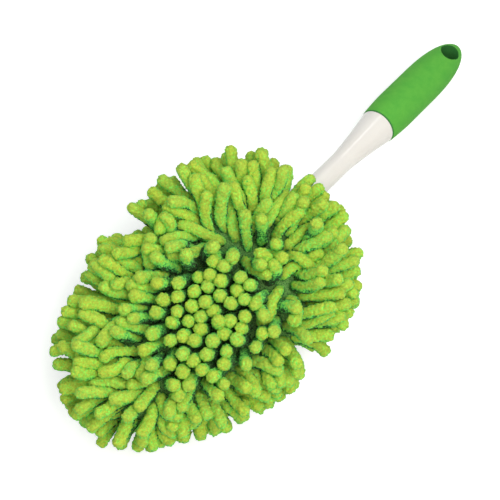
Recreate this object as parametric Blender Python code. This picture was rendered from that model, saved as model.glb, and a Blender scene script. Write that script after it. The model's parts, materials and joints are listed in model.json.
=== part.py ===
"""Chenille duster: a soft grip on a bent neck, a moulded paddle, and a pull-off cover of chenille fingers."""

import math

import bmesh
import bpy
import numpy as np
from mathutils import Vector

# General clearances
FIT_GAP = 0.0003
CUT_OVERRUN = 0.002
PAD_GAP = 0.0008
FLAT_DEPTH = 0.0005

# Egg-shaped core of the cover, measured from its widest line
CORE_BLUNT = 0.071
CORE_FAR = 0.116
CORE_HALF_WIDTH = 0.059
CORE_HALF_THICK = 0.014
BACKING = 0.003

# Chenille fingers
FINGER_LENGTH = 0.030
FINGER_PITCH = 0.0123
FINGER_RADIUS = 0.0049
ROOT_RADIUS = 0.0028
ROOT_SINK = 0.0015
TIP_RADIUS_SHARE = 0.55
SHOULDER_SHARE = 0.86
PANEL_LEAN = math.radians(26)
COMB_SHARE = 0.09
LENGTH_JITTER_SHARE = 0.05
LEAN_JITTER_SHARE = 0.045
PANEL_SLICES = 4
EDGE_RINGS = ((math.radians(38), math.radians(-2)), (math.radians(72), math.radians(37)))
ARCS_PER_QUARTER = 2
ARC_STEPS = 3
STRAND_SIDES = 4

# Paddle that the cover is pulled over
PADDLE_INSET = 0.008
PADDLE_THICK = 0.006
PADDLE_RIM = 0.009
SPINE_WIDTH = 0.010
SPINE_THICK = 0.0046
RIB_WIDTH = 0.006
RIB_THICK = 0.0038
RIB_COUNT = 3
STEM_WIDTH = 0.0095
STEM_DEPTH = 0.017
PADDLE_ROUND = 0.0012

# Seam tape and mouth hems of the cover
TAPE_PROUD = 0.001
HEM_HEIGHT = 0.0022
HEM_PROUD = 0.0008

# Neck, from the cover's mouth to the grip's seam
MOUTH_CLEARANCE = 0.001
NECK_START_TO_BEND = 0.012
NECK_BEND = math.radians(25)
BEND_RADIUS = 0.040
NECK_RADIUS = 0.0082
NECK_LENGTH = 0.094
FLARE_LENGTH = 0.050
FLARE_RADIUS = 0.0137
FLARE_POWER = 1.35
COLLAR_ROUND = 0.0012
TONGUE_RADIUS = 0.0100
TONGUE_LENGTH = 0.078
PIN_RADIUS = 0.002
PIN_FROM_MOUTH = 0.008
PIN_LENGTH = 0.0152

# Grip
GRIP_LENGTH = 0.1135
GRIP_LIP_RADIUS = 0.0141
GRIP_RADIUS = 0.0155
GRIP_SWELL_LENGTH = 0.027
GRIP_TAPER_LENGTH = 0.058
GRIP_TAPER_POWER = 2.6
LIP_ROUND = 0.001
HANG_HOLE_RADIUS = 0.0075
HANG_HOLE_FROM_TIP = 0.0178
HANG_HOLE_FLARE = 0.0016

GREEN_FINGER = (0.42, 0.66, 0.05, 1.0)
GREEN_BACKING = (0.20, 0.36, 0.08, 1.0)
GREEN_GRIP = (0.12, 0.46, 0.06, 1.0)
WHITE_PLASTIC = (0.86, 0.82, 0.74, 1.0)
FOAM_CREAM = (0.80, 0.78, 0.66, 1.0)
STEEL = (0.60, 0.61, 0.62, 1.0)

SLOT_HALF = PADDLE_THICK / 2 + FIT_GAP
INNER_ROUND = CORE_HALF_THICK - BACKING
PAD_ROUND = INNER_ROUND - PAD_GAP
NECK_START = CORE_BLUNT + MOUTH_CLEARANCE
BEND_X = NECK_START + NECK_START_TO_BEND
STEM_END = NECK_START + STEM_DEPTH


def clear_scene():
    for item in list(bpy.data.objects):
        bpy.data.objects.remove(item, do_unlink=True)


def material(name, colour, roughness, metallic=0.0):
    made = bpy.data.materials.new(name)
    made.use_nodes = True
    shader = made.node_tree.nodes["Principled BSDF"]
    shader.inputs["Base Color"].default_value = colour
    shader.inputs["Roughness"].default_value = roughness
    shader.inputs["Metallic"].default_value = metallic
    made.diffuse_color = colour
    return made


def empty(name, parent=None, location=(0, 0, 0), turn_about_y=0.0):
    made = bpy.data.objects.new(name, None)
    bpy.context.collection.objects.link(made)
    made.parent = parent
    made.location = location
    made.rotation_euler = (0, turn_about_y, 0)
    return made


def add_object(name, bm, skin, parent, smooth_under=math.radians(40)):
    """One named object from a closed bmesh, with its faces turned outward."""
    bmesh.ops.recalc_face_normals(bm, faces=bm.faces)
    mesh = bpy.data.meshes.new(name)
    bm.to_mesh(mesh)
    bm.free()
    if smooth_under:
        mesh.shade_smooth()
        mesh.set_sharp_from_angle(angle=smooth_under)
    made = bpy.data.objects.new(name, mesh)
    bpy.context.collection.objects.link(made)
    made.parent = parent
    if skin:
        mesh.materials.append(skin)
    return made


def guide(name, bm, parent):
    """A cutter or a shape to be joined: it helps to build another object and is not a piece itself."""
    made = add_object(name, bm, None, parent, smooth_under=None)
    made.hide_render = True
    made.display_type = "WIRE"
    return made


def combine(target, tool, operation):
    step = target.modifiers.new(tool.name, "BOOLEAN")
    step.operation = operation
    step.solver = "EXACT"
    step.object = tool


def loft(bm, rings, closed_round=True, cap=True):
    """Skin a list of rings of points; the two end rings become faces."""
    rows = [[bm.verts.new(p) for p in ring] for ring in rings]
    count = len(rows[0])
    spans = count if closed_round else count - 1
    for low, high in zip(rows, rows[1:]):
        for i in range(spans):
            j = (i + 1) % count
            bm.faces.new((low[i], low[j], high[j], high[i]))
    if cap:
        bm.faces.new(rows[0])
        bm.faces.new(rows[-1])
    return rows


def turned(profile, sides, axis_frame):
    """Rings of a turned shape: profile holds (along, radius) and axis_frame places a point."""
    rings = []
    for along, radius in profile:
        turns = [2 * math.pi * i / sides for i in range(sides)]
        rings.append([axis_frame(along, radius * math.cos(t), radius * math.sin(t)) for t in turns])
    return rings


def box_mesh(low, high):
    bm = bmesh.new()
    bmesh.ops.create_cube(bm, size=1.0)
    for vert in bm.verts:
        vert.co = [lo + (c + 0.5) * (hi - lo) for lo, hi, c in zip(low, high, vert.co)]
    return bm


# Egg outline, shared by every piece of the head

def semi_lengths(turn, inset):
    along = CORE_BLUNT if math.cos(turn) > 0 else CORE_FAR
    return along - inset, CORE_HALF_WIDTH - inset


def egg(turn, inset, z=0.0):
    along, across = semi_lengths(turn, inset)
    return (along * math.cos(turn), across * math.sin(turn), z)


def egg_outward(turn, inset):
    along, across = semi_lengths(turn, inset)
    return Vector((across * math.cos(turn), along * math.sin(turn), 0)).normalized()


def egg_half_width(x, inset):
    along = (CORE_BLUNT if x > 0 else CORE_FAR) - inset
    return (CORE_HALF_WIDTH - inset) * math.sqrt(max(0.0, 1 - (x / along) ** 2))


def rounded_point(turn, latitude, round_radius, side):
    """A point on the core's rounded edge, at a latitude above its middle plane."""
    inset = CORE_HALF_THICK - round_radius * math.cos(latitude)
    return egg(turn, inset, side * round_radius * math.sin(latitude))


def turns_by_length(start, end, count, inset):
    """Turns that split a stretch of the outline into equal lengths."""
    fine = np.linspace(start, end, 200)
    points = np.array([egg(t, inset) for t in fine])
    run = np.concatenate([[0], np.cumsum(np.linalg.norm(np.diff(points, axis=0), axis=1))])
    return np.interp(np.linspace(0, run[-1], count), run, fine), run[-1]


# Chenille fingers

def unrest(side, random):
    """How far one finger is combed aside and how much longer it is than the rest.

    The front fingers are uneven. The back ones, which the duster lies on, stand in order.
    """
    sway = Vector(random.normal(size=3)) * LEAN_JITTER_SHARE + Vector((0, COMB_SHARE, 0))
    stretch = LENGTH_JITTER_SHARE * random.uniform(-1, 1)
    return (sway, stretch) if side > 0 else (Vector((0, 0, 0)), 0.0)


def finger(root, outward, across, sway, stretch):
    """Place of one finger: its root, its direction, the direction of its flat sides, and its length."""
    along = (outward + sway).normalized()
    flat = (across - along * across.dot(along)).normalized()
    return Vector(root), along, flat, FINGER_LENGTH * (1 + stretch)


def neck_clears(root, along, length):
    """True if a finger is clear of the neck at rest and on the neck's way out of the cover."""
    reach = NECK_RADIUS + FINGER_RADIUS + MOUTH_CLEARANCE
    line = [neck_centre(s)[0] for s in np.linspace(0, NECK_LENGTH / 2, 30)]
    for share in np.linspace(0, 1, 7):
        point = root + along * length * share
        for centre in line:
            off = point - centre
            if off.x > 0:
                off.x = 0
            if off.length < reach:
                return False
    return True


def panel_fingers(side, rows, row_x, random):
    """Fingers on the flat of one face, in staggered rows, leaning out more towards the edge."""
    inset = CORE_HALF_THICK + ROOT_RADIUS
    made = []
    for row in rows:
        x = row_x[row]
        half = egg_half_width(x, inset)
        stagger = 0.5 * (row % 2)
        reach = int(half / FINGER_PITCH) + 1
        for column in range(-reach, reach + 1):
            y = (column + stagger) * FINGER_PITCH
            if abs(y) > half:
                continue
            far = CORE_BLUNT - inset if x > 0 else CORE_FAR - inset
            turn = math.atan2(y / (CORE_HALF_WIDTH - inset), x / far)
            spread = math.hypot(y / (CORE_HALF_WIDTH - inset), x / far)
            lean = PANEL_LEAN * spread ** 1.3
            outward = egg_outward(turn, inset) * math.sin(lean) + Vector((0, 0, side * math.cos(lean)))
            across = Vector((0, 0, 1)).cross(egg_outward(turn, inset))
            made.append(finger((x, y, side * CORE_HALF_THICK), outward, across, *unrest(side, random)))
    return made


def edge_fingers(side, start, end, random):
    """Fingers on one arc of the rounded edge, in two rings."""
    made = []
    for latitude, rise in EDGE_RINGS:
        inset = CORE_HALF_THICK - CORE_HALF_THICK * math.cos(latitude)
        length = turns_by_length(start, end, 2, inset)[1]
        count = max(1, round(length / FINGER_PITCH))
        turns = turns_by_length(start, end, 2 * count + 1, inset)[0][1::2]
        for turn in turns:
            flat = egg_outward(turn, inset)
            outward = flat * math.cos(rise) + Vector((0, 0, side * math.sin(rise)))
            across = Vector((0, 0, 1)).cross(flat)
            root = rounded_point(turn, latitude, CORE_HALF_THICK, side)
            sway, stretch = unrest(side, random)
            spot = finger(root, outward, across, sway, stretch)
            if min(side * p.z for ring in finger_rings(spot) for p in ring) < SLOT_HALF:
                spot = finger(root, outward, across, Vector((sway.x, sway.y, 0)), stretch)
            if neck_clears(spot[0], spot[1], spot[3]):
                made.append(spot)
    return made


def finger_ring(spot, along_share, radius, below=0.0):
    root, along, side, length = spot
    up = along.cross(side)
    centre = root + along * (length * along_share - below)
    turns = [2 * math.pi * (i + 0.5) / STRAND_SIDES for i in range(STRAND_SIDES)]
    return [centre + (side * math.cos(t) + up * math.sin(t)) * radius for t in turns]


def finger_rings(spot):
    return [
        finger_ring(spot, 0, ROOT_RADIUS, ROOT_SINK),
        finger_ring(spot, SHOULDER_SHARE, FINGER_RADIUS),
        finger_ring(spot, 1, FINGER_RADIUS * TIP_RADIUS_SHARE),
    ]


def fingers_mesh(spots, floor):
    """All fingers of one slice, cut flat where they meet the surface that the duster lies on."""
    bm = bmesh.new()
    for spot in spots:
        loft(bm, finger_rings(spot))
    if floor:
        point, normal = floor
        everything = bm.verts[:] + bm.edges[:] + bm.faces[:]
        bmesh.ops.bisect_plane(bm, geom=everything, plane_co=point, plane_no=normal, clear_inner=True)
        open_edges = [edge for edge in bm.edges if edge.is_boundary]
        if open_edges:
            bmesh.ops.holes_fill(bm, edges=open_edges, sides=0)
    return bm


# Neck centre line: straight out of the mouth, then an arc, then straight to the grip

def neck_centre(run):
    """Point and direction on the neck's centre line, by the length run from the neck's start."""
    bend_run = BEND_RADIUS * NECK_BEND
    straight = NECK_START_TO_BEND - BEND_RADIUS * math.tan(NECK_BEND / 2)
    turned_by = min(max((run - straight) / BEND_RADIUS, 0.0), NECK_BEND)
    x = NECK_START + min(run, straight) + BEND_RADIUS * math.sin(turned_by)
    z = -BEND_RADIUS * (1 - math.cos(turned_by))
    rest = max(run - straight - bend_run, 0.0)
    along = Vector((math.cos(turned_by), 0, -math.sin(turned_by)))
    return Vector((x, 0, z)) + along * rest, along


def neck_run(from_bend):
    """Length run from the neck's start of a point that lies this far past the bend's corner."""
    straight = NECK_START_TO_BEND - BEND_RADIUS * math.tan(NECK_BEND / 2)
    return straight + BEND_RADIUS * NECK_BEND + from_bend - BEND_RADIUS * math.tan(NECK_BEND / 2)


def neck_radius(from_bend):
    share = (from_bend - (NECK_LENGTH - FLARE_LENGTH)) / FLARE_LENGTH
    return NECK_RADIUS + (FLARE_RADIUS - NECK_RADIUS) * max(share, 0.0) ** FLARE_POWER


def neck_mesh():
    rings = []
    sides = 24

    def add(run, radius):
        centre, along = neck_centre(run)
        up = Vector((0, 1, 0)).cross(along)
        turns = [2 * math.pi * i / sides for i in range(sides)]
        rings.append([centre + (Vector((0, 1, 0)) * math.cos(t) + up * math.sin(t)) * radius for t in turns])

    add(0, NECK_RADIUS - COLLAR_ROUND)
    for run in np.linspace(COLLAR_ROUND, neck_run(BEND_RADIUS * NECK_BEND / 2), 7):
        add(run, NECK_RADIUS)
    for from_bend in np.linspace(NECK_LENGTH - FLARE_LENGTH, NECK_LENGTH - COLLAR_ROUND, 8):
        add(neck_run(from_bend), neck_radius(from_bend))
    add(neck_run(NECK_LENGTH), FLARE_RADIUS - COLLAR_ROUND)
    add(neck_run(NECK_LENGTH), TONGUE_RADIUS)
    add(neck_run(NECK_LENGTH + TONGUE_LENGTH - COLLAR_ROUND), TONGUE_RADIUS)
    add(neck_run(NECK_LENGTH + TONGUE_LENGTH), TONGUE_RADIUS - COLLAR_ROUND)
    bm = bmesh.new()
    loft(bm, rings)
    return bm


def grip_radius(along):
    """Outer radius of the grip, by the length from its seam."""
    taper_start = GRIP_LENGTH - GRIP_TAPER_LENGTH
    if along <= GRIP_SWELL_LENGTH:
        share = math.sin(math.pi / 2 * along / GRIP_SWELL_LENGTH)
        return GRIP_LIP_RADIUS + (GRIP_RADIUS - GRIP_LIP_RADIUS) * share
    if along <= taper_start:
        return GRIP_RADIUS
    share = min((along - taper_start) / GRIP_TAPER_LENGTH, 1.0)
    return GRIP_RADIUS * math.sqrt(1 - share ** GRIP_TAPER_POWER)


def grip_profile():
    """Outline of the sleeve, from the cavity's blind end out of the mouth and round to the tip."""
    bore = TONGUE_RADIUS + FIT_GAP
    depth = TONGUE_LENGTH + FIT_GAP
    start = FIT_GAP
    profile = [(depth, bore), (start, bore), (start, GRIP_LIP_RADIUS - LIP_ROUND)]
    profile.append((start + LIP_ROUND, grip_radius(LIP_ROUND)))
    for along in np.linspace(GRIP_SWELL_LENGTH / 2, GRIP_LENGTH - GRIP_TAPER_LENGTH, 4):
        profile.append((along, grip_radius(along)))
    for step in range(1, 11):
        share = math.sin(math.pi / 2 * step / 11)
        along = GRIP_LENGTH - GRIP_TAPER_LENGTH * (1 - share)
        profile.append((along, grip_radius(along)))
    return profile


def grip_mesh():
    sides = 32
    bm = bmesh.new()
    rows = loft(bm, turned(grip_profile(), sides, lambda x, y, z: (x, y, z)), cap=False)
    bm.faces.new(rows[0])
    tip = bm.verts.new((GRIP_LENGTH, 0, 0))
    for i in range(sides):
        bm.faces.new((rows[-1][i], rows[-1][(i + 1) % sides], tip))
    return bm


def hang_hole_cutter():
    """A spool: the hole's own radius in the middle, flared at both mouths so that the rims are rounded."""
    centre = GRIP_LENGTH - HANG_HOLE_FROM_TIP
    mouth = grip_radius(centre)
    flare = HANG_HOLE_FLARE
    outer = GRIP_RADIUS + CUT_OVERRUN
    widest = HANG_HOLE_RADIUS + flare + (outer - mouth)
    profile = [(-outer, widest), (-mouth + flare, HANG_HOLE_RADIUS)]
    profile += [(mouth - flare, HANG_HOLE_RADIUS), (outer, widest)]
    bm = bmesh.new()
    loft(bm, turned(profile, 20, lambda along, a, b: (centre + a, b, along)))
    return bm


# Sheet, band and slab solids of the head

def band_mesh(rows_of_points):
    """Closed band from two skins, each a grid of points, outer first."""
    outer, inner = rows_of_points
    bm = bmesh.new()
    rings = [list(out) + list(reversed(back)) for out, back in zip(outer, inner)]
    loft(bm, rings)
    return bm


def arc_band(start, end, low, round_outer, round_inner, side, steps, gap):
    """Rounded backing along one arc of the edge, from a lip at height low up to the flat of the face."""
    inset = CORE_HALF_THICK
    trim = gap / 2 / turns_by_length(start, end, 2, inset)[1] * (end - start)
    turns = turns_by_length(start + trim, end - trim, steps + 1, 0)[0]
    skins = []
    for radius, count in ((round_outer, 3), (round_inner, 2)):
        latitudes = np.linspace(math.asin(low / radius), math.pi / 2, count)
        skins.append([[rounded_point(t, lat, radius, side) for lat in latitudes] for t in turns])
    return band_mesh(skins)


def strip_mesh(start, end, low, high, inset_in, inset_out, steps):
    """A strip with a rectangular section that follows the outline."""
    turns = turns_by_length(start, end, steps + 1, 0)[0]
    bm = bmesh.new()
    rings = []
    for t in turns:
        rings.append([egg(t, inset_in, low), egg(t, inset_out, low), egg(t, inset_out, high), egg(t, inset_in, high)])
    loft(bm, rings)
    return bm


def facet_turns(arcs):
    """The turns at which the backing of the edge is faceted, all the way round."""
    return [t for start, end in arcs for t in turns_by_length(start, end, ARC_STEPS + 1, 0)[0][:-1]]


def panel_mesh(x_low, x_high, side, arcs):
    """One slice of the flat backing, between two cuts across the face, inside the facets of the edge."""
    inset = CORE_HALF_THICK + FIT_GAP
    corners = [egg(t, inset)[:2] for t in facet_turns(arcs)]
    upper = sorted([p for p in corners if p[1] > FIT_GAP] + [egg(0, inset)[:2], egg(math.pi, inset)[:2]])
    xs = [p[0] for p in upper]
    ys = [max(p[1], 0.0) for p in upper]
    inside = [p for p in zip(xs, ys) if x_low + FIT_GAP < p[0] < x_high - FIT_GAP]
    ends = [(x, float(np.interp(x, xs, ys))) for x in (x_low, x_high)]
    outline = ends[:1] + inside + ends[1:]
    loop = outline + [(x, -y) for x, y in reversed(outline) if y > FIT_GAP]
    bm = bmesh.new()
    levels = (side * INNER_ROUND, side * CORE_HALF_THICK)
    loft(bm, [[(x, y, z) for x, y in loop] for z in levels])
    return bm


def pad_mesh(side, arcs):
    """Foam pad between the paddle and the backing of one face."""
    turns = facet_turns(arcs)
    latitudes = (math.asin(SLOT_HALF / PAD_ROUND), math.pi / 2)
    bm = bmesh.new()
    loft(bm, [[rounded_point(t, lat, PAD_ROUND, side) for t in turns] for lat in latitudes])
    return bm


def paddle_rim_mesh():
    turns = [2 * math.pi * i / 48 for i in range(48)]
    half = PADDLE_THICK / 2
    outer = PADDLE_INSET
    inner = PADDLE_INSET + PADDLE_RIM
    soft = PADDLE_ROUND
    section = [
        (outer + soft, half), (outer, half - soft), (outer, soft - half), (outer + soft, -half),
        (inner - soft, -half), (inner, soft - half), (inner, half - soft), (inner - soft, half),
    ]
    bm = bmesh.new()
    rings = [[egg(t, inset, z) for inset, z in section] for t in turns]
    loft(bm, rings + rings[:1], cap=False)
    bmesh.ops.remove_doubles(bm, verts=bm.verts, dist=FIT_GAP / 10)
    return bm


def make_paddle(parent, skin):
    paddle = add_object("paddle_frame", paddle_rim_mesh(), skin, parent)
    inset = PADDLE_INSET + PADDLE_RIM / 2
    spine = box_mesh(
        (inset - CORE_FAR, -SPINE_WIDTH / 2, -SPINE_THICK / 2), (CORE_BLUNT - inset, SPINE_WIDTH / 2, SPINE_THICK / 2)
    )
    combine(paddle, guide("spine", spine, parent), "UNION")
    length = CORE_FAR + CORE_BLUNT - 2 * (PADDLE_INSET + PADDLE_RIM)
    first = PADDLE_INSET + PADDLE_RIM - CORE_FAR
    for i in range(RIB_COUNT):
        x = first + length * (i + 1) / (RIB_COUNT + 1)
        half = egg_half_width(x, inset)
        low = (x - RIB_WIDTH / 2, -half, -RIB_THICK / 2)
        rib = box_mesh(low, (x + RIB_WIDTH / 2, half, RIB_THICK / 2))
        combine(paddle, guide("rib_%d" % (i + 1), rib, parent), "UNION")
    stem_half = PADDLE_THICK / 2 - PADDLE_ROUND / 2
    stem = box_mesh(
        (CORE_BLUNT - inset, -STEM_WIDTH / 2, -stem_half), (STEM_END, STEM_WIDTH / 2, stem_half)
    )
    combine(paddle, guide("stem", stem, parent), "UNION")
    combine(paddle, pin_bore(parent, "stem_bore"), "DIFFERENCE")


def upright_rod(radius, low, high, sides):
    x = NECK_START + PIN_FROM_MOUTH
    bm = bmesh.new()
    loft(bm, turned([(low, radius), (high, radius)], sides, lambda along, a, b: (x + a, b, along)))
    return bm


def pin_bore(parent, name):
    reach = NECK_RADIUS + CUT_OVERRUN
    return guide(name, upright_rod(PIN_RADIUS + FIT_GAP, -reach, reach, 16), parent)


def make_neck(parent, skin):
    neck = add_object("neck", neck_mesh(), skin, parent)
    half_width = STEM_WIDTH / 2 + FIT_GAP
    half_height = PADDLE_THICK / 2 - PADDLE_ROUND / 2 + FIT_GAP
    low = (NECK_START - CUT_OVERRUN, -half_width, -half_height)
    socket = box_mesh(low, (STEM_END + FIT_GAP, half_width, half_height))
    combine(neck, guide("socket", socket, parent), "DIFFERENCE")
    combine(neck, pin_bore(parent, "neck_bore"), "DIFFERENCE")


def make_chenille(name, backing, spots, floor, skins, parent):
    """One slice of backing with its fingers fused to it."""
    made = add_object(name, backing, skins["finger"], parent, smooth_under=None)
    strands = guide(name + "_fingers", fingers_mesh(spots, floor), parent)
    combine(made, strands, "UNION")


def lay_down(spots):
    """Angle and place in which the duster lies on its back, on its back fingers and on the grip."""
    tips = np.array([list(p) for spot in spots for ring in finger_rings(spot)[1:] for p in ring])
    hole = GRIP_LENGTH - HANG_HOLE_FROM_TIP
    flare_start = grip_radius(hole) - HANG_HOLE_FLARE
    down = []
    for along in np.linspace(0, GRIP_LENGTH, 300):
        radius = grip_radius(along)
        across = np.linspace(0, radius, 100)
        depth = np.sqrt(np.maximum(radius ** 2 - across ** 2, 0))
        bored = np.hypot(along - hole, across) < HANG_HOLE_RADIUS + np.maximum(depth - flare_start, 0)
        down.append((along, -np.where(bored, 0, depth).max()))
    down = np.array(down)
    run = NECK_LENGTH + down[:, 0]
    grip = np.stack([
        BEND_X + run * math.cos(NECK_BEND) + down[:, 1] * math.sin(NECK_BEND),
        -run * math.sin(NECK_BEND) + down[:, 1] * math.cos(NECK_BEND),
    ], axis=1)

    def lowest(points, angle):
        return (points[:, 0] * math.sin(angle) + points[:, 1] * math.cos(angle)).min()

    low, high = 0.0, NECK_BEND
    for _ in range(60):
        angle = (low + high) / 2
        head_floor = lowest(tips[:, [0, 2]], angle) + FLAT_DEPTH
        if lowest(grip, angle) < head_floor:
            low = angle
        else:
            high = angle
    ends = np.concatenate([tips[:, [0, 2]], grip])
    world_x = ends[:, 0] * math.cos(angle) - ends[:, 1] * math.sin(angle)
    middle_x = (world_x.min() + world_x.max()) / 2
    middle_y = (tips[:, 1].min() + tips[:, 1].max()) / 2
    return angle, (-middle_x, -middle_y, -head_floor)


def build():
    clear_scene()
    random = np.random.default_rng(7)
    skins = {
        "finger": material("chenille", GREEN_FINGER, 0.95),
        "backing": material("mesh_backing", GREEN_BACKING, 0.95),
        "grip": material("soft_grip", GREEN_GRIP, 0.6),
        "white": material("white_plastic", WHITE_PLASTIC, 0.35),
        "foam": material("foam", FOAM_CREAM, 0.95),
        "steel": material("steel", STEEL, 0.3, 1.0),
    }

    inset = CORE_HALF_THICK + ROOT_RADIUS
    row_pitch = FINGER_PITCH * math.sqrt(3) / 2
    span = CORE_FAR + CORE_BLUNT - 2 * inset - FINGER_PITCH / 2
    row_count = int(span / row_pitch) + 1
    first_row = (CORE_BLUNT - CORE_FAR) / 2 - row_pitch * (row_count - 1) / 2
    row_x = [first_row + row_pitch * i for i in range(row_count)]
    slices = np.array_split(np.arange(row_count), PANEL_SLICES)
    flat_inset = CORE_HALF_THICK + FIT_GAP
    cuts = [flat_inset - CORE_FAR]
    cuts += [row_x[rows[0]] - row_pitch / 2 for rows in slices[1:]]
    cuts += [CORE_BLUNT - flat_inset]

    quarter = math.pi / 2
    arcs = []
    for q in range(4):
        edges = turns_by_length(q * quarter, (q + 1) * quarter, ARCS_PER_QUARTER + 1, 0)[0]
        arcs += list(zip(edges, edges[1:]))

    pieces = []
    for side, face in ((1, "front"), (-1, "back")):
        for i, rows in enumerate(slices):
            low = cuts[i] + (FIT_GAP / 2 if i else 0)
            high = cuts[i + 1] - (FIT_GAP / 2 if i < PANEL_SLICES - 1 else 0)
            spots = panel_fingers(side, rows, row_x, random)
            pieces.append(("%s_panel_%d" % (face, i + 1), panel_mesh(low, high, side, arcs), spots))
        for i, (start, end) in enumerate(arcs):
            at_mouth = math.cos((start + end) / 2) > 0
            lip = SLOT_HALF + (HEM_HEIGHT + FIT_GAP if at_mouth else 0)
            backing = arc_band(start, end, lip, CORE_HALF_THICK, INNER_ROUND, side, ARC_STEPS, FIT_GAP)
            spots = edge_fingers(side, start, end, random)
            pieces.append(("%s_edge_%d" % (face, i + 1), backing, spots))

    angle, place = lay_down([spot for _, _, spots in pieces for spot in spots])
    duster = empty("duster", location=place, turn_about_y=-angle)
    cover = empty("cover", parent=duster)
    handle = empty("handle", parent=duster)
    grip_axis = empty("grip_axis", parent=handle, location=tuple(neck_centre(neck_run(NECK_LENGTH))[0]))
    grip_axis.rotation_euler = (0, NECK_BEND, 0)

    up = Vector((math.sin(angle), 0, math.cos(angle)))
    floor = (-up * place[2], up)
    for name, backing, spots in pieces:
        make_chenille(name, backing, spots, floor if name.startswith("back") else None, skins, cover)

    for side, face in ((1, "front"), (-1, "back")):
        add_object(face + "_pad", pad_mesh(side, arcs), skins["foam"], cover)
        low, high = sorted((side * SLOT_HALF, side * (SLOT_HALF + HEM_HEIGHT)))
        hem = strip_mesh(-quarter, quarter, low, high, BACKING, -HEM_PROUD, 16)
        add_object("mouth_hem_" + face, hem, skins["backing"], cover)
    tape_half = SLOT_HALF - FIT_GAP
    ends = turns_by_length(quarter, 3 * quarter, 200, 0)[0]
    tape = strip_mesh(ends[0], ends[-1], -tape_half, tape_half, BACKING, -TAPE_PROUD, 20)
    add_object("side_seam", tape, skins["backing"], cover)

    make_paddle(handle, skins["white"])
    make_neck(handle, skins["white"])
    pin_low = -PIN_LENGTH / 2
    pin = upright_rod(PIN_RADIUS, pin_low, pin_low + PIN_LENGTH, 16)
    add_object("retaining_pin", pin, skins["steel"], handle)
    grip = add_object("grip", grip_mesh(), skins["grip"], grip_axis)
    combine(grip, guide("hang_hole", hang_hole_cutter(), grip_axis), "DIFFERENCE")
    bpy.context.view_layer.update()


build()
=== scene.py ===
"""The chenille duster as it looks: soft fingers, mesh backing, moulded neck and rubbery grip."""

import json
import math

import bmesh
import bpy
import numpy as np
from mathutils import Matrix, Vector
from mathutils.kdtree import KDTree


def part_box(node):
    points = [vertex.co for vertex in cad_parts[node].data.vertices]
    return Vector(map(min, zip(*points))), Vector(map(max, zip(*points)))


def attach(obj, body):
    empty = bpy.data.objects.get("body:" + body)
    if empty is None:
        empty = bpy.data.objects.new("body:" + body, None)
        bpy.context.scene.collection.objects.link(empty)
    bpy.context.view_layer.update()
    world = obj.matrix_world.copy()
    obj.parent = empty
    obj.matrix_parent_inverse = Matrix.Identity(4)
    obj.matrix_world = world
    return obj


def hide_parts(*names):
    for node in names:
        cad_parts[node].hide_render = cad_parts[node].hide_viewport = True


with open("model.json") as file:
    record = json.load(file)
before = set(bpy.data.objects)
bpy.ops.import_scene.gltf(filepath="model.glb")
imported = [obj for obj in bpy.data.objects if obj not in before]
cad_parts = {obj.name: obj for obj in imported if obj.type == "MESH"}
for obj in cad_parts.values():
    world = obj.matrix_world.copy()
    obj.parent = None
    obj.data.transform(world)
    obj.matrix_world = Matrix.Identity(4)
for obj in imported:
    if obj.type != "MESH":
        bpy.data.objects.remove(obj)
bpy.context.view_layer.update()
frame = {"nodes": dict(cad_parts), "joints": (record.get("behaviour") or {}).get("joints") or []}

# Sizes shared with the CAD model, in metres
CORE_BLUNT = 0.071
CORE_FAR = 0.116
CORE_HALF_WIDTH = 0.059
CORE_HALF_THICK = 0.014
BACKING = 0.003
SLOT_HALF = 0.0033
HEM_HEIGHT = 0.0022
PADDLE_HALF_WIDTH = 0.051
PIN_FROM_WIDEST = 0.080
NECK_START = 0.072
NECK_START_TO_BEND = 0.012
NECK_BEND = math.radians(25)
BEND_RADIUS = 0.040
STRAIGHT_RUN = NECK_START_TO_BEND - BEND_RADIUS * math.tan(NECK_BEND / 2)
NECK_RADIUS = 0.0082
NECK_LENGTH = 0.094
FLARE_LENGTH = 0.050
FLARE_RADIUS = 0.0137
FLARE_POWER = 1.35
TONGUE_RADIUS = 0.0100
TONGUE_LENGTH = 0.078
STEM_END = 0.089
STEM_HALF_WIDTH = 0.00475
STEM_HALF_HEIGHT = 0.0024
PIN_RADIUS = 0.002
FIT_GAP = 0.0003
GRIP_LENGTH = 0.1135
GRIP_LIP_RADIUS = 0.0141
GRIP_RADIUS = 0.0155
GRIP_SWELL_LENGTH = 0.027
GRIP_TAPER_LENGTH = 0.058
TAPER_START = GRIP_LENGTH - GRIP_TAPER_LENGTH
GRIP_TAPER_POWER = 2.6
HANG_HOLE_RADIUS = 0.0075
HANG_HOLE_FROM_TIP = 0.0178

# Rounded edges of the handle
CUT_OVERRUN = 0.002
COLLAR_ROUND = 0.0012
NECK_STEP_ROUND = 0.0009
NECK_STEP_DEPTH = 0.0016
TONGUE_ROUND = 0.0012
PIN_HOLE_HALF = 0.011
LIP_ROUND = 0.0009
LIP_END = 0.0022
HOLE_FLARE = 0.0017
HOLE_PROUD = 0.0004
HOLE_OVERRUN = 0.003

# Chenille fingers, in metres, with turns and latitudes in degrees
FINGER_LENGTH = 0.0305
LONG_FINGER_EXTRA = 0.003
FINGER_RADIUS = 0.0042
LENGTH_JITTER = 0.05
RADIUS_JITTER = 0.045
WAY_JITTER = 0.13
BEND_JITTER = 0.34
STRONG_BEND_SHARE = 0.14
STRONG_BEND_GAIN = 2.5
ROOT_SINK = 0.001

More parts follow.
